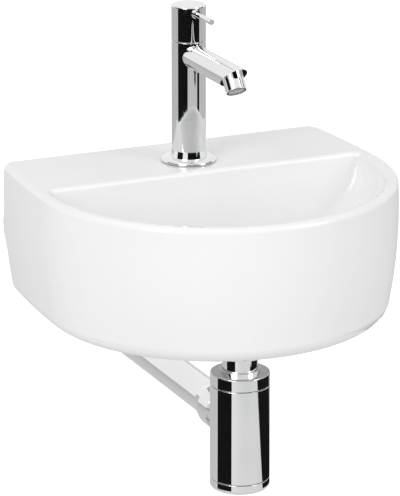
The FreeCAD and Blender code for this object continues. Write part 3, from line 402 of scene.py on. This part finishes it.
def round_wall_corners(shape, wall, radius, steps=8):
    """Round both upright corners at the wall: at each height the square corner is drawn in to a quarter disc.

    A known fault: the inner rims of the two bolt holes pass for corner edges too, and the wall face between
    the corners is drawn in with them, by up to 5 mm.
    """
    corner = {}
    for edge in shape.edges:
        if len(edge.link_faces) == 2 and all(abs(vert.co.y - wall) < HAIR for vert in edge.verts):
            back, flank = sorted(edge.link_faces, key=lambda face: -face.normal.y)
            across = edge.verts[0].co.x
            if back.normal.y > 0.99 and flank.normal.x * across > 0.05 * abs(across):
                for vert in edge.verts:
                    corner[round(vert.co.z, 6)] = abs(vert.co.x)
    heights = sorted(corner)
    widths = [corner[height] for height in heights]
    lower, upper = (heights[0] * (1 - share) + heights[-1] * share for share in (0.25, 0.75))
    lower_width, upper_width = numpy.interp((lower, upper), heights, widths)
    slope = (upper_width - lower_width) / (upper - lower)
    for step in range(steps + 1):
        inward = radius * step / steps
        cuts = [((0, wall - inward, 0), (0, 1, 0))]
        cuts += [((side * (upper_width - inward), 0, upper), (side, 0, -slope)) for side in (-1, 1)]
        for spot, normal in cuts:
            bmesh.ops.bisect_plane(shape, geom=near_wall(shape, wall, radius), dist=HAIR,
                                   plane_co=spot, plane_no=normal)
    for vert in shape.verts:
        width = float(numpy.interp(vert.co.z, heights, widths))
        across = (abs(vert.co.x) - width + radius) / radius
        along = (vert.co.y - wall + radius) / radius
        if across > 0 and along > 0:
            pull = max(across, along) / math.hypot(across, along)
            vert.co.x = math.copysign(width - radius + across * pull * radius, vert.co.x)
            vert.co.y = wall - radius + along * pull * radius


WALL_CORNER = 0.010
BASIN_CREASE = math.radians(32)
shape = bmesh.new()
shape.from_mesh(nodes["basin"].data)
bmesh.ops.remove_doubles(shape, verts=shape.verts, dist=HAIR)
shape.normal_update()
round_wall_corners(shape, basin_high.y, WALL_CORNER)
china = to_object("glazed_basin", shape)
china.data.materials.clear()
china.data.materials.append(glaze)
china.data.shade_smooth()
china.data.set_sharp_from_angle(angle=BASIN_CREASE)
china.modifiers.new("even_faces", "WEIGHTED_NORMAL").keep_sharp = True
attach(china, "root")
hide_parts("basin")


# ---------------------------------------------------------------- hanger bolts
# Two M8 steel bolts with a coarse wood thread driven into the wall plugs and a machine thread for the nut.
# Each is rolled from one rod and zinc plated.
WAVE_LENGTH = 0.314


def tool_marks(name, pitch, depth, turn=(0.0, 0.0, 0.0)):
    """A group of fine rings left by the lathe, across the piece's own Z or, turned, another axis."""
    tree, given, result = new_group(name, [("Place", "Vector", NOWHERE), ("Pitch", "Float", pitch),
                                           ("Depth", "Float", depth)], ("Normal", "Vector"))
    turned = add(tree, "Mapping", Rotation=turn)
    stripes = add(tree, "TexWave", bands_direction="Z", wave_profile="SIN", Distortion=0.6, Detail=2.0)
    once = add(tree, "Math", operation="DIVIDE")
    once.inputs[0].default_value = WAVE_LENGTH
    bump = add(tree, "Bump")
    wire(tree, given["Place"], turned.inputs["Vector"])
    wire(tree, turned.outputs["Vector"], stripes.inputs["Vector"])
    wire(tree, given["Pitch"], once.inputs[1])
    wire(tree, once.outputs["Value"], stripes.inputs["Scale"])
    wire(tree, stripes.outputs["Fac"], bump.inputs["Height"])
    wire(tree, given["Depth"], bump.inputs["Distance"])
    wire(tree, bump.outputs["Normal"], result["Normal"])
    return tree


QUARTER = math.pi / 2
MARK_PITCH = 0.0003
MARK_DEPTH = 0.000004
marks_up = tool_marks("lathe_marks_upright", MARK_PITCH, MARK_DEPTH)
marks_level = tool_marks("lathe_marks_level", MARK_PITCH, MARK_DEPTH, (QUARTER, 0.0, 0.0))


def metal(name, light, deep, gloss, dull, marks, depth, patch=25.0):
    """A metal with drifting tint, patchy gloss and lathe marks of its own."""
    material, tree, shader, place = new_material(name)
    shader.inputs["Metallic"].default_value = 1.0
    wire(tree, use_group(tree, drift, place, Scale=patch, Light=light, Deep=deep), shader.inputs["Base Color"])
    wire(tree, use_group(tree, haze, place, Scale=patch * 2, Gloss=gloss, Dull=dull), shader.inputs["Roughness"])
    wire(tree, use_group(tree, marks, place, Depth=depth), shader.inputs["Normal"])
    return material


MERGE = 1e-7


def smooth_piece(name, shape, body, material, node=None, crease=35.0):
    """Finish a new piece: merged, faces outwards, smooth between creases, riding and dressed."""
    bmesh.ops.remove_doubles(shape, verts=shape.verts, dist=MERGE)
    bmesh.ops.recalc_face_normals(shape, faces=shape.faces)
    thing = to_object(name, shape)
    thing.data.shade_smooth()
    thing.data.set_sharp_from_angle(angle=math.radians(crease))
    thing.data.materials.append(material)
    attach(thing, body)
    if node:
        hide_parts(node)
    return thing


def rim_edges(shape, height):
    """The open edges of a shape that lie at one height."""
    open_edges = [edge for edge in shape.edges if edge.is_boundary]
    return [edge for edge in open_edges if all(abs(vert.co.z - height) < HAIR for vert in edge.verts)]


def verts_in(items):
    """The points among what a mesh operation made."""
    return [item for item in items if isinstance(item, bmesh.types.BMVert)]


CREST_START, CREST_END = 0.42, 0.58
TURNS_BEFORE = 1.5


def wind_thread(shape, crest, root, pitch, low, high, sides=32):
    """Wind a V ridge up the Z axis, past both ends, and trim it level at low and high."""
    run = []
    for radius, share in ((root, 0.0), (crest, CREST_START), (crest, CREST_END), (root, 1.0)):
        run.append(shape.verts.new((radius, 0.0, low - pitch * (TURNS_BEFORE - share))))
    ridge = [shape.edges.new(pair) for pair in zip(run, run[1:])]
    bmesh.ops.spin(shape, geom=run + ridge, cent=(0, 0, 0), axis=(0, 0, 1), dvec=(0, 0, pitch / sides),
                   angle=2 * math.pi, steps=sides)
    one_turn = shape.verts[:] + shape.edges[:] + shape.faces[:]
    for turn in range(1, math.ceil((high - low) / pitch) + 2):
        made = bmesh.ops.duplicate(shape, geom=one_turn)["geom"]
        bmesh.ops.translate(shape, vec=(0, 0, pitch * turn), verts=verts_in(made))
    bmesh.ops.remove_doubles(shape, verts=shape.verts, dist=pitch * 1e-3)
    for height, side in ((low, -1), (high, 1)):
        everything = shape.verts[:] + shape.edges[:] + shape.faces[:]
        bmesh.ops.bisect_plane(shape, geom=everything, plane_co=(0, 0, height), plane_no=(0, 0, side),
                               clear_outer=True)


def chamfer_end(shape, end, crest, depth):
    """Turn the end of a thread down to a cone, from crest at depth before the end."""
    for vert in shape.verts:
        reach = crest - max(0.0, depth - abs(vert.co.z - end))
        radius = math.hypot(vert.co.x, vert.co.y)
        if radius > reach:
            vert.co.x *= reach / radius
            vert.co.y *= reach / radius


def join(shape, part):
    """Put a finished part of a piece into its shape."""
    mesh = bpy.data.meshes.new("part")
    part.to_mesh(mesh)
    part.free()
    shape.from_mesh(mesh)
    bpy.data.meshes.remove(mesh)


steel = metal("zinc_plated_steel", colour(0.64, 0.65, 0.66), colour(0.52, 0.53, 0.56),
              gloss=0.22, dull=0.42, marks=marks_level, depth=0.000006)
M8_PITCH = 0.00125
M8_DEPTH = 0.00077
M8_UNDERSIZE = 0.00017
WOOD_PITCH = 0.0035
WOOD_DEPTH = 0.0012
WOOD_START = 0.002
POINT_LENGTH = 0.009
POINT_SHARE = 0.12
TO_FRONT = Matrix.Rotation(QUARTER, 4, "X")
low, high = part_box("wall_bolts")
bolt_end = -low.y
screw_end = -high.y
screw_crest = high.z
bolt_crest = screw_crest - M8_UNDERSIZE
bolt_across = high.x - screw_crest
for name, across in (("wall_bolt_left", -bolt_across), ("wall_bolt_right", bolt_across)):
    shape = bmesh.new()
    wind_thread(shape, screw_crest, screw_crest - WOOD_DEPTH, WOOD_PITCH, screw_end, -WOOD_START)
    for vert in shape.verts:
        from_tip = vert.co.z - screw_end
        share = min(1.0, POINT_SHARE + from_tip / POINT_LENGTH)
        vert.co.x *= share
        vert.co.y *= share
    machine = bmesh.new()
    wind_thread(machine, bolt_crest, bolt_crest - M8_DEPTH, M8_PITCH, -WOOD_START, bolt_end)
    chamfer_end(machine, bolt_end, bolt_crest, M8_DEPTH)
    join(shape, machine)
    bmesh.ops.holes_fill(shape, edges=[edge for edge in shape.edges if edge.is_boundary], sides=0)
    bmesh.ops.transform(shape, matrix=Matrix.Translation((across, 0, 0)) @ TO_FRONT, verts=shape.verts)
    smooth_piece(name, shape, "root", steel, "wall_bolts")


# ---------------------------------------------------------------- bushes, washers and nuts of the bolts
# A white plastic bush keeps the steel off the ceramic; a flat washer and a hexagon nut pull the basin home.
# The nuts are pressed from hexagon bar, with turned corners and a countersunk thread.
def circle(shape, sides, radius, height=0.0):
    """A level ring of edges about the Z axis: its points and its edges."""
    loop = bmesh.ops.create_circle(shape, segments=sides, radius=radius,
                                   matrix=Matrix.Translation((0, 0, height)))["verts"]
    return loop, list({edge for vert in loop for edge in vert.link_edges})


def extruded(shape, edges):
    """Extrude a ring of edges in its place: the new points and the new ring."""
    made = bmesh.ops.extrude_edge_only(shape, edges=edges)["geom"]
    loop = verts_in(made)
    fresh = set(loop)
    return loop, [item for item in made if isinstance(item, bmesh.types.BMEdge) and fresh >= set(item.verts)]


def raise_wall(shape, sides, rings):
    """Raise an open wall from ring to ring, each a function of the angle; gives its first and last edges."""
    loop, edges = circle(shape, sides, 1.0)
    first = edges
    for index, ring in enumerate(rings):
        if index:
            loop, edges = extruded(shape, edges)
        for vert in loop:
            angle = math.atan2(vert.co.y, vert.co.x)
            radius, height = ring(angle)
            vert.co = (radius * math.cos(angle), radius * math.sin(angle), height)
    return first, edges


def ringed(shape, sides, rings):
    """Raise a closed wall: the last ring is bridged to the first."""
    first, last = raise_wall(shape, sides, rings)
    bmesh.ops.bridge_loops(shape, edges=first + last)


def plain_ring(radius, height):
    """A round, level ring."""
    return lambda angle: (radius, height)


def hexagon_ring(flats, height, fall):
    """A ring on the sides of a hexagon, whose corners a cone of 30 degrees turns down by fall's sign."""
    def ring(angle):
        off = (angle + math.pi / 6) % (math.pi / 3) - math.pi / 6
        radius = flats / 2 / math.cos(abs(off) - math.pi / 6)
        return radius, height + fall * (radius - flats / 2) * math.tan(math.pi / 6)
    return ring


SINK_SHARE = 0.12
FACE_SHARE = 0.985


def hexagon_nut(shape, flats, bore, low, high):
    """A hexagon nut, round at both faces and countersunk at both ends of its bore."""
    sink = bore * SINK_SHARE
    face = flats / 2 * FACE_SHARE
    ringed(shape, 72, [
        plain_ring(bore, low + sink), plain_ring(bore + sink, low), plain_ring(face, low),
        hexagon_ring(flats, low, 1), hexagon_ring(flats, high, -1), plain_ring(face, high),
        plain_ring(bore + sink, high), plain_ring(bore, high - sink)])


def fine_plastic(name, light, deep, roughness, grain):
    """A moulded plastic or rubber with fine grain."""
    material, tree, shader, place = new_material(name)
    wire(tree, use_group(tree, drift, place, Scale=80.0, Light=light, Deep=deep), shader.inputs["Base Color"])
    wire(tree, use_group(tree, haze, place, Scale=120.0, Gloss=roughness, Dull=roughness + 0.2),
         shader.inputs["Roughness"])
    wire(tree, use_group(tree, waves, place, Scale=grain, Depth=0.00003), shader.inputs["Normal"])
    return material


NUT_CREASE = 12.0
plastic = fine_plastic("white_nylon", colour(0.84, 0.84, 0.82), colour(0.78, 0.78, 0.75),
                       roughness=0.38, grain=900.0)
dress(plastic, "wall_bolt_bushes")
dress(steel, "wall_bolt_washers")
low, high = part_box("wall_bolt_nuts")
nut_flats = high.z - low.z
for name, side in (("wall_nut_left", -1), ("wall_nut_right", 1)):
    shape = bmesh.new()
    hexagon_nut(shape, nut_flats, bolt_crest, -high.y, -low.y)
    bmesh.ops.transform(shape, matrix=Matrix.Translation((side * bolt_across, 0, 0)) @ TO_FRONT,
                        verts=shape.verts)
    smooth_piece(name, shape, "root", steel, "wall_bolt_nuts", NUT_CREASE)


# ---------------------------------------------------------------- tap body and its foot
# Turned brass, polished and chromed: a foot ring on a black gasket, and the upright body with the water way.
# The polishing leaves faint rings and a slight haze that only a close look shows.
def polished_chrome(name, marks):
    """Chrome with the polishing marks of a turned piece, upright or level."""
    return metal(name, colour(0.83, 0.83, 0.83), colour(0.79, 0.795, 0.80),
                 gloss=0.018, dull=0.05, marks=marks, depth=0.0000003, patch=18.0)


chrome = polished_chrome("polished_chrome", marks_up)
level_chrome = polished_chrome("polished_chrome_level", marks_level)
rubber = fine_plastic("black_rubber", colour(0.035, 0.035, 0.036), colour(0.018, 0.018, 0.019),
                      roughness=0.55, grain=1500.0)
FLANGE_BORE = 0.011
CROWN_WIDTH = 0.006
CROWN_DROP = 0.0030
CROWN_STEPS = 8
BODY_RADIUS = 0.01552
RING_RADIUS = 0.01675
RING_HEIGHT = 0.0062
RING_LIP = 0.0001
low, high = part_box("tap_base_flange")
turns = [step * QUARTER / CROWN_STEPS for step in range(CROWN_STEPS + 1)]
crown = [plain_ring(high.x - CROWN_WIDTH * (1 - math.sin(turn)), high.z - CROWN_DROP * (1 - math.cos(turn)))
         for turn in turns]
shape = bmesh.new()
ringed(shape, 96, [
    plain_ring(FLANGE_BORE, high.z), plain_ring(BODY_RADIUS, high.z),
    plain_ring(BODY_RADIUS, high.z + RING_HEIGHT),
    plain_ring(BODY_RADIUS + RING_LIP, high.z + RING_HEIGHT), plain_ring(RING_RADIUS, high.z), *crown,
    plain_ring(high.x, low.z), plain_ring(FLANGE_BORE, low.z)])
bmesh.ops.translate(shape, vec=TAP_AXIS, verts=shape.verts)
smooth_piece("tap_foot", shape, "root", chrome, "tap_base_flange")
dress(chrome, "tap_body")
dress(rubber, "tap_base_gasket")

# ---------------------------------------------------------------- spout and aerator
# A straight tube soldered into the body, cut on the slant, with a screwed nozzle. Inside the nozzle a white
# honeycomb breaks the water into air and drops; it stands on a black ring.
dress(level_chrome, "tap_spout", "aerator_housing")
dress(rubber, "aerator_washer")
LEAN = math.radians(36.0)
CELL_RADIUS = 0.00115
CELL_WALL = 0.00022
CELL_LOW = 0.0005
CELL_HIGH = 0.004
CELL_FIT = 0.75
CELL_ROWS = 3
CELL_COLUMNS = 4
INSERT_RADIUS = 0.0073
INSERT_WALL = 0.0006
INSERT_HEIGHT = 0.006
INSERT_INSET = 0.0012
NOZZLE_RADIUS = 0.0093
low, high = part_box("aerator_housing")
mouth = Vector((0, low.y + NOZZLE_RADIUS * math.cos(LEAN), low.z + NOZZLE_RADIUS * math.sin(LEAN)))


def tube_wall(outer, inner, low, high):
    """The four rings of a plain tube."""
    return [plain_ring(outer, low), plain_ring(outer, high), plain_ring(inner, high), plain_ring(inner, low)]


shape = bmesh.new()
ringed(shape, 48, tube_wall(INSERT_RADIUS, INSERT_RADIUS - INSERT_WALL,
                            INSERT_INSET, INSERT_INSET + INSERT_HEIGHT))
spacing = 2 * CELL_RADIUS * math.cos(math.pi / 6)
for row in range(-CELL_ROWS, CELL_ROWS + 1):
    for column in range(-CELL_COLUMNS, CELL_COLUMNS + 1):
        spot = Vector(((column + 0.5 * (row % 2)) * spacing, row * CELL_RADIUS * 1.5, 0))
        if spot.length > INSERT_RADIUS - CELL_RADIUS * CELL_FIT:
            continue
        cell = bmesh.new()
        ringed(cell, 6, tube_wall(CELL_RADIUS, CELL_RADIUS - CELL_WALL,
                                  INSERT_INSET + CELL_LOW, INSERT_INSET + CELL_HIGH))
        bmesh.ops.rotate(cell, cent=(0, 0, 0), matrix=Matrix.Rotation(math.pi / 6, 3, "Z"), verts=cell.verts)
        bmesh.ops.translate(cell, vec=spot, verts=cell.verts)
        join(shape, cell)
bmesh.ops.transform(shape, matrix=Matrix.Translation(mouth) @ Matrix.Rotation(-LEAN, 4, "X"),
                    verts=shape.verts)
smooth_piece("aerator_honeycomb", shape, "root", plastic, "aerator_insert")

# ---------------------------------------------------------------- shank and its fixing under the deck
# A threaded brass tube carries the tap through the deck; a rubber and a steel washer and a brass nut hold it.
# The water's connector screws on its free end.
brass = metal("machined_brass", colour(0.74, 0.60, 0.31), colour(0.62, 0.47, 0.22),
              gloss=0.16, dull=0.34, marks=marks_up, depth=0.000005)
G_HALF_PITCH = 0.001814
G_HALF_DEPTH = 0.00116
SHANK_BORE = 0.0065
low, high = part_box("tap_shank")
shank_crest = high.x
shape = bmesh.new()
wind_thread(shape, shank_crest, shank_crest - G_HALF_DEPTH, G_HALF_PITCH, low.z, high.z, 48)
chamfer_end(shape, low.z, shank_crest, G_HALF_DEPTH)
outside_low, outside_high = rim_edges(shape, low.z), rim_edges(shape, high.z)
bore_low, bore_high = raise_wall(shape, 48, [plain_ring(SHANK_BORE, low.z), plain_ring(SHANK_BORE, high.z)])
bmesh.ops.bridge_loops(shape, edges=outside_low + bore_low)
bmesh.ops.bridge_loops(shape, edges=outside_high + bore_high)
bmesh.ops.translate(shape, vec=TAP_AXIS, verts=shape.verts)
smooth_piece("threaded_shank", shape, "root", brass, "tap_shank")

low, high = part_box("shank_nut")
shape = bmesh.new()
hexagon_nut(shape, high.y - low.y, shank_crest, low.z, high.z)
bmesh.ops.translate(shape, vec=TAP_AXIS, verts=shape.verts)
smooth_piece("shank_backnut", shape, "root", brass, "shank_nut", NUT_CREASE)
dress(rubber, "shank_rubber_washer")
dress(steel, "shank_steel_washer")

# ---------------------------------------------------------------- valve inside the tap
# A brass headwork screwed into the body holds two lapped alumina discs: the spindle turns the upper one a
# quarter, and its ports open over those of the lower. A rubber ring seals the stack.
dress(brass, "tap_headwork", "tap_spindle")
dress(rubber, "headwork_seal")
alumina = fine_plastic("lapped_alumina", colour(0.90, 0.89, 0.86), colour(0.86, 0.85, 0.81),
                       roughness=0.12, grain=2400.0)
dress(alumina, "ceramic_disc_fixed", "ceramic_disc_moving")

# ---------------------------------------------------------------- handle and lever
# The cap that turns on the spindle, with a small rod for the finger. Both are turned brass, chromed.
dress(chrome, "tap_handle")
dress(level_chrome, "tap_lever")

# ---------------------------------------------------------------- open waste
# A pressed and chromed strainer sits in the bowl's seat on a rubber ring; one slotted screw pulls it against
# the threaded brass tail below the ceramic.
dress(chrome, "waste_grid")
dress(rubber, "waste_top_gasket", "waste_bottom_gasket")
M6_CREST = 0.003
M6_PITCH = 0.001
M6_DEPTH = 0.0006
SLOT_WIDTH = 0.0013
SLOT_DEPTH = 0.0009
HEAD_BEVEL = 0.0004
HEAD_HEIGHT = 0.0014
TOP_SKIN = 1e-5
low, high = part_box("waste_screw")
screw_head = high.x
head_low = high.z - HEAD_HEIGHT
shape = bmesh.new()
wind_thread(shape, M6_CREST, M6_CREST - M6_DEPTH, M6_PITCH, low.z, head_low, 24)
chamfer_end(shape, low.z, M6_CREST, M6_DEPTH)
bmesh.ops.holes_fill(shape, edges=rim_edges(shape, low.z), sides=0)
_, head_edges = circle(shape, 48, screw_head, head_low)
bmesh.ops.bridge_loops(shape, edges=rim_edges(shape, head_low))
for radius, rise in ((screw_head, HEAD_HEIGHT - HEAD_BEVEL), (screw_head - HEAD_BEVEL, HEAD_HEIGHT)):
    ring, head_edges = extruded(shape, head_edges)
    for vert in ring:
        angle = math.atan2(vert.co.y, vert.co.x)
        vert.co = (radius * math.cos(angle), radius * math.sin(angle), head_low + rise)
bmesh.ops.holes_fill(shape, edges=head_edges, sides=0)
for side in (-1, 1):
    upper = [face for face in shape.faces if face.calc_center_median().z > high.z - TOP_SKIN]
    edges = {edge for face in upper for edge in face.edges}
    verts = {vert for face in upper for vert in face.verts}
    bmesh.ops.bisect_plane(shape, geom=upper + list(edges | verts),
                           plane_co=(side * SLOT_WIDTH / 2, 0, 0), plane_no=(1, 0, 0))
slot = [face for face in shape.faces
        if face.calc_center_median().z > high.z - TOP_SKIN and abs(face.calc_center_median().x) < SLOT_WIDTH / 2]
pressed = bmesh.ops.extrude_face_region(shape, geom=slot)["geom"]
bmesh.ops.delete(shape, geom=slot, context="FACES")
bmesh.ops.translate(shape, vec=(0, 0, -SLOT_DEPTH), verts=verts_in(pressed))
bmesh.ops.translate(shape, vec=WASTE_AXIS, verts=shape.verts)
smooth_piece("slotted_waste_screw", shape, "root", steel, "waste_screw")

G_FIVE_QUARTER_PITCH = 0.002309
G_FIVE_QUARTER_DEPTH = 0.00148
TAIL_CREST = 0.02095
TAIL_WALL = 0.0024
FLANGE_THICKNESS = 0.0035
ARM_WIDTH = 0.005
HUB_RADIUS = 0.006
SCREW_HOLE = 0.00305
EASE = 0.0004
low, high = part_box("waste_tail")
tail_flange = high.x
tail_bore = TAIL_CREST - TAIL_WALL
flange_low = high.z - FLANGE_THICKNESS
shape = bmesh.new()
wind_thread(shape, TAIL_CREST, TAIL_CREST - G_FIVE_QUARTER_DEPTH, G_FIVE_QUARTER_PITCH, low.z, flange_low, 72)
chamfer_end(shape, low.z, TAIL_CREST, G_FIVE_QUARTER_DEPTH)
thread_low, thread_high = rim_edges(shape, low.z), rim_edges(shape, flange_low)
flange_start, bore_end = raise_wall(shape, 72, [
    plain_ring(tail_flange - EASE, flange_low), plain_ring(tail_flange, flange_low + EASE),
    plain_ring(tail_flange, high.z - EASE), plain_ring(tail_flange - EASE, high.z),
    plain_ring(tail_bore + EASE, high.z), plain_ring(tail_bore, high.z - EASE), plain_ring(tail_bore, low.z)])
bmesh.ops.bridge_loops(shape, edges=thread_high + flange_start)
bmesh.ops.bridge_loops(shape, edges=thread_low + bore_end)
arm_level = flange_low - ARM_WIDTH / 2
for side in (-1, 1):
    middle = side * (tail_bore + HUB_RADIUS) / 2
    reach = tail_bore - HUB_RADIUS + EASE * 2
    bmesh.ops.create_cube(shape, size=1.0, matrix=Matrix.Translation((middle, 0, arm_level))
                          @ Matrix.Diagonal((reach, ARM_WIDTH, ARM_WIDTH, 1.0)))
bmesh.ops.translate(shape, vec=WASTE_AXIS, verts=shape.verts)
tail_brass = metal("chromed_tail", colour(0.78, 0.785, 0.79), colour(0.70, 0.71, 0.72),
                   gloss=0.08, dull=0.2, marks=marks_up, depth=0.000002)
smooth_piece("threaded_waste_tail", shape, "root", tail_brass, "waste_tail")
shape = bmesh.new()
ringed(shape, 36, tube_wall(HUB_RADIUS, SCREW_HOLE, arm_level - ARM_WIDTH / 2, arm_level + ARM_WIDTH / 2))
bmesh.ops.translate(shape, vec=WASTE_AXIS, verts=shape.verts)
smooth_piece("waste_tail_hub", shape, "root", tail_brass)

# ---------------------------------------------------------------- bottle trap
# Drawn and turned brass, polished and chromed: the inlet nut with grip flutes, the dip tube, a collar, the
# screwed cap, the bottle and the cup that comes off for cleaning, with black seals between them.
FLUTES = 24
FLUTE_DEPTH = 0.0006
NUT_EASE = 0.0012
EASE_SHARE = 0.3
LIP = 0.003
NECK_ROOM = 0.01615
THREAD_PLAY = 0.00005


def fluted_ring(radius, height):
    """A ring with a shallow groove at every finger's grip."""
    return lambda angle: (radius - FLUTE_DEPTH * max(0.0, math.cos(angle * FLUTES)) ** 3, height)


low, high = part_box("trap_inlet_nut")
inlet_radius = high.x
thread_room = TAIL_CREST + THREAD_PLAY
shape = bmesh.new()
ringed(shape, 240, [
    plain_ring(NECK_ROOM, low.z), plain_ring(inlet_radius - NUT_EASE, low.z),
    plain_ring(inlet_radius - NUT_EASE * EASE_SHARE, low.z + NUT_EASE * EASE_SHARE),
    plain_ring(inlet_radius, low.z + NUT_EASE), fluted_ring(inlet_radius, low.z + NUT_EASE * 2),
    fluted_ring(inlet_radius, high.z - NUT_EASE), plain_ring(inlet_radius - FLUTE_DEPTH, high.z),
    plain_ring(thread_room, high.z), plain_ring(thread_room, low.z + LIP), plain_ring(NECK_ROOM, low.z + LIP)])
bmesh.ops.translate(shape, vec=WASTE_AXIS, verts=shape.verts)
smooth_piece("fluted_inlet_nut", shape, "root", chrome, "trap_inlet_nut", crease=30.0)
dress(chrome, "trap_inlet_tube", "trap_collar", "trap_cap", "trap_body", "trap_cup")
dress(rubber, "trap_inlet_washer", "trap_cap_seal", "trap_cup_seal", "outlet_seal")

# ---------------------------------------------------------------- outlet nut and pipe
# A long tapered nut closes a rubber ring on the pipe, and the pipe runs level into the wall.
# Both are chromed brass, polished along their length.
dress(level_chrome, "outlet_nut", "wall_pipe")
